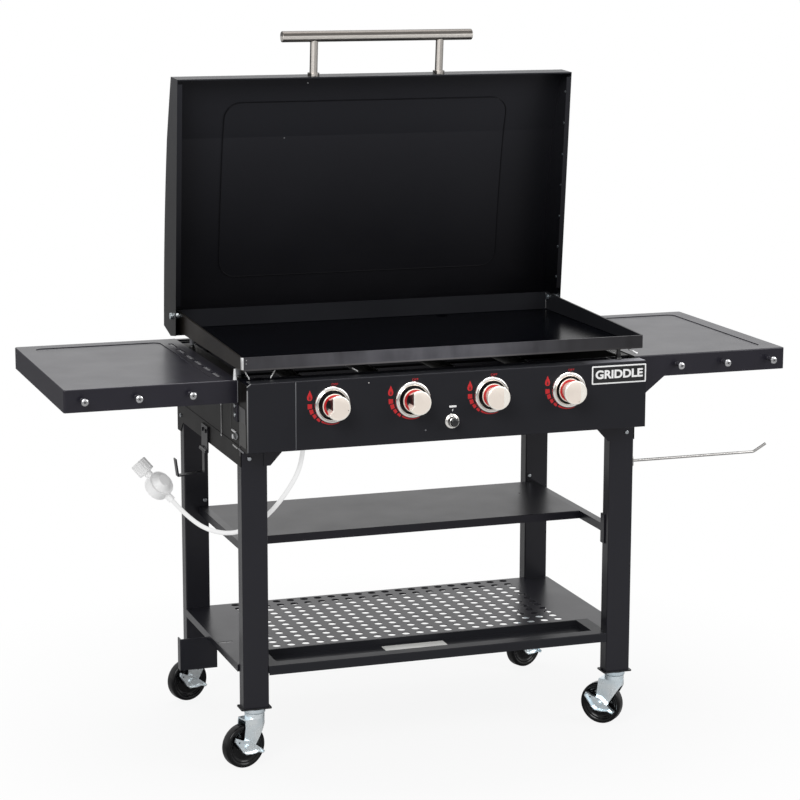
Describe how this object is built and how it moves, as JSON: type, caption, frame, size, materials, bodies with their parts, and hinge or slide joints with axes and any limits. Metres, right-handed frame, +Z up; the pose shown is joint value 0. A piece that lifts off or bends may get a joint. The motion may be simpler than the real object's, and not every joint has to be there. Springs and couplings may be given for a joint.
{
  "type": "outdoor gas griddle station",
  "caption": "Gas griddle on a four-legged rolling cart with a hinged lid, folding tank hook, side shelves, a middle shelf and a perforated bottom shelf.",
  "frame": {"origin": "on the floor, under the middle of the object's box without its hose", "axes": "+X to the right as seen from the front, +Y to the back, +Z up"},
  "size_m": [1.648, 0.7108, 1.5516],
  "materials": {
    "black_powder_coat": "semi-matte black powder coat with a fine texture",
    "lid_black_paint": "satin black high-heat paint",
    "griddle_steel": "rolled steel plate, black and lightly oiled",
    "zinc_plate": "bright zinc plating",
    "chrome_trim": "bright chrome",
    "brushed_handle_steel": "stainless steel brushed along its length",
    "black_button_plastic": "black moulded plastic",
    "caster_tyre": "black rubber tread on a black hub",
    "burner_steel": "bare stainless sheet and tube",
    "valve_brass": "cast brass",
    "electrode_ceramic": "glazed white ceramic with a steel clip",
    "hose_rubber": null,
    "regulator_casting": "grey cast alloy with a dark grip ring"
  },
  "bodies": {
    "cart": {"leg_front_left": "black_powder_coat", "leg_front_right": "black_powder_coat", "leg_rear_left": "black_powder_coat", "leg_rear_right": "black_powder_coat", "box_side_left": "black_powder_coat", "box_side_right": "black_powder_coat", "box_rear_panel": "black_powder_coat", "heat_shield": "black_powder_coat", "control_panel": "black_powder_coat", "panel_corner_cover": "black_powder_coat", "knob_bezels": "chrome_trim", "gas_manifold": "burner_steel", "gas_valves": "valve_brass", "burners": "burner_steel", "burner_rest": "black_powder_coat", "spark_electrodes": "electrode_ceramic", "igniter_barrel": "chrome_trim", "side_shelf_left": "black_powder_coat", "side_shelf_right": "black_powder_coat", "tool_pegs": "black_powder_coat", "towel_rod": "chrome_trim", "tank_hook_strap": "black_powder_coat", "perforated_deck": "black_powder_coat", "front_trough": "black_powder_coat", "deck_end_strips": "black_powder_coat", "tank_support": "black_powder_coat", "middle_shelf": "black_powder_coat", "middle_shelf_rails": "black_powder_coat", "frame_screws": "zinc_plate", "grease_chute": "burner_steel", "gas_hose": "hose_rubber", "regulator": "regulator_casting", "caster_mounts": "zinc_plate"},
    "griddle": {"griddle_plate": "griddle_steel", "griddle_feet": "zinc_plate", "lid_hinge_bolts": "zinc_plate"},
    "lid": {"lid_skin": "lid_black_paint", "lid_ends": "lid_black_paint", "lid_rivets": "zinc_plate", "lid_handle_posts": "brushed_handle_steel", "lid_handle_bar": "brushed_handle_steel"},
    "knob_1": {"knob_1": "chrome_trim"},
    "knob_2": {"knob_2": "chrome_trim"},
    "knob_3": {"knob_3": "chrome_trim"},
    "knob_4": {"knob_4": "chrome_trim"},
    "igniter_button": {"igniter_button": "black_button_plastic"},
    "tank_hook": {"tank_hook": "black_powder_coat"},
    "grease_cup": {"grease_cup": "black_powder_coat"},
    "caster_fork_front_left": {"caster_fork_front_left": "zinc_plate"},
    "caster_wheel_front_left": {"caster_wheel_front_left": "caster_tyre"},
    "caster_brake_front_left": {"caster_brake_front_left": "zinc_plate"},
    "caster_fork_front_right": {"caster_fork_front_right": "zinc_plate"},
    "caster_wheel_front_right": {"caster_wheel_front_right": "caster_tyre"},
    "caster_brake_front_right": {"caster_brake_front_right": "zinc_plate"},
    "caster_fork_rear_left": {"caster_fork_rear_left": "zinc_plate"},
    "caster_wheel_rear_left": {"caster_wheel_rear_left": "caster_tyre"},
    "caster_brake_rear_left": {"caster_brake_rear_left": "zinc_plate"},
    "caster_fork_rear_right": {"caster_fork_rear_right": "zinc_plate"},
    "caster_wheel_rear_right": {"caster_wheel_rear_right": "caster_tyre"},
    "caster_brake_rear_right": {"caster_brake_rear_right": "zinc_plate"}
  },
  "joints": [
    {"name": "griddle_lift_off", "type": "slide", "parent": "cart", "child": "griddle", "axis": [0, 0, 1], "range_m": [0, 0.15]},
    {"name": "lid_hinge", "type": "hinge", "parent": "griddle", "child": "lid", "pos_m": [0, 0.2606, 0.91], "axis": [1, 0, 0], "range_deg": [0, 84.8]},
    {"name": "knob_1_turn", "type": "hinge", "parent": "cart", "child": "knob_1", "pos_m": [-0.2685, -0.3054, 0.7975], "axis": [0, -1, 0], "range_deg": [0, 180]},
    {"name": "knob_2_turn", "type": "hinge", "parent": "cart", "child": "knob_2", "pos_m": [-0.0895, -0.3054, 0.7975], "axis": [0, -1, 0], "range_deg": [0, 180]},
    {"name": "knob_3_turn", "type": "hinge", "parent": "cart", "child": "knob_3", "pos_m": [0.0895, -0.3054, 0.7975], "axis": [0, -1, 0], "range_deg": [0, 180]},
    {"name": "knob_4_turn", "type": "hinge", "parent": "cart", "child": "knob_4", "pos_m": [0.2685, -0.3054, 0.7975], "axis": [0, -1, 0], "range_deg": [0, 180]},
    {"name": "igniter_press", "type": "slide", "parent": "cart", "child": "igniter_button", "axis": [0, 1, 0], "range_m": [0, 0.004], "stiffness_N_per_m": 1200},
    {"name": "tank_hook_fold", "type": "hinge", "parent": "cart", "child": "tank_hook", "pos_m": [-0.4585, 0.0366, 0.644], "axis": [0, 1, 0], "range_deg": [0, 90]},
    {"name": "grease_cup_slide", "type": "slide", "parent": "cart", "child": "grease_cup", "axis": [0, 1, 0], "range_m": [0, 0.06]},
    {"name": "caster_swivel_front_left", "type": "hinge", "parent": "cart", "child": "caster_fork_front_left", "pos_m": [-0.423, -0.2329, 0.118], "axis": [0, 0, 1], "continuous": true},
    {"name": "wheel_spin_front_left", "type": "hinge", "parent": "caster_fork_front_left", "child": "caster_wheel_front_left", "pos_m": [-0.45088, -0.24089, 0.048], "axis": [-0.2756, 0.9613, 0], "continuous": true},
    {"name": "brake_press_front_left", "type": "hinge", "parent": "caster_fork_front_left", "child": "caster_brake_front_left", "pos_m": [-0.45088, -0.24089, 0.048], "axis": [-0.2756, 0.9613, 0], "range_deg": [0, 25]},
    {"name": "caster_swivel_front_right", "type": "hinge", "parent": "cart", "child": "caster_fork_front_right", "pos_m": [0.423, -0.2329, 0.118], "axis": [0, 0, 1], "continuous": true},
    {"name": "wheel_spin_front_right", "type": "hinge", "parent": "caster_fork_front_right", "child": "caster_wheel_front_right", "pos_m": [0.40322, -0.21169, 0.048], "axis": [0.7314, 0.682, 0], "continuous": true},
    {"name": "brake_press_front_right", "type": "hinge", "parent": "caster_fork_front_right", "child": "caster_brake_front_right", "pos_m": [0.40322, -0.21169, 0.048], "axis": [0.7314, 0.682, 0], "range_deg": [0, 25]},
    {"name": "caster_swivel_rear_left", "type": "hinge", "parent": "cart", "child": "caster_fork_rear_left", "pos_m": [-0.423, 0.2631, 0.118], "axis": [0, 0, 1], "continuous": true},
    {"name": "wheel_spin_rear_left", "type": "hinge", "parent": "caster_fork_rear_left", "child": "caster_wheel_rear_left", "pos_m": [-0.45058, 0.25414, 0.048], "axis": [-0.309, 0.9511, 0], "continuous": true},
    {"name": "brake_press_rear_left", "type": "hinge", "parent": "caster_fork_rear_left", "child": "caster_brake_rear_left", "pos_m": [-0.45058, 0.25414, 0.048], "axis": [-0.309, 0.9511, 0], "range_deg": [0, 25]},
    {"name": "caster_swivel_rear_right", "type": "hinge", "parent": "cart", "child": "caster_fork_rear_right", "pos_m": [0.423, 0.2631, 0.118], "axis": [0, 0, 1], "continuous": true},
    {"name": "wheel_spin_rear_right", "type": "hinge", "parent": "caster_fork_rear_right", "child": "caster_wheel_rear_right", "pos_m": [0.39611, 0.25224, 0.048], "axis": [-0.3746, 0.9272, 0], "continuous": true},
    {"name": "brake_press_rear_right", "type": "hinge", "parent": "caster_fork_rear_right", "child": "caster_brake_rear_right", "pos_m": [0.39611, 0.25224, 0.048], "axis": [-0.3746, 0.9272, 0], "range_deg": [0, 25]}
  ]
}
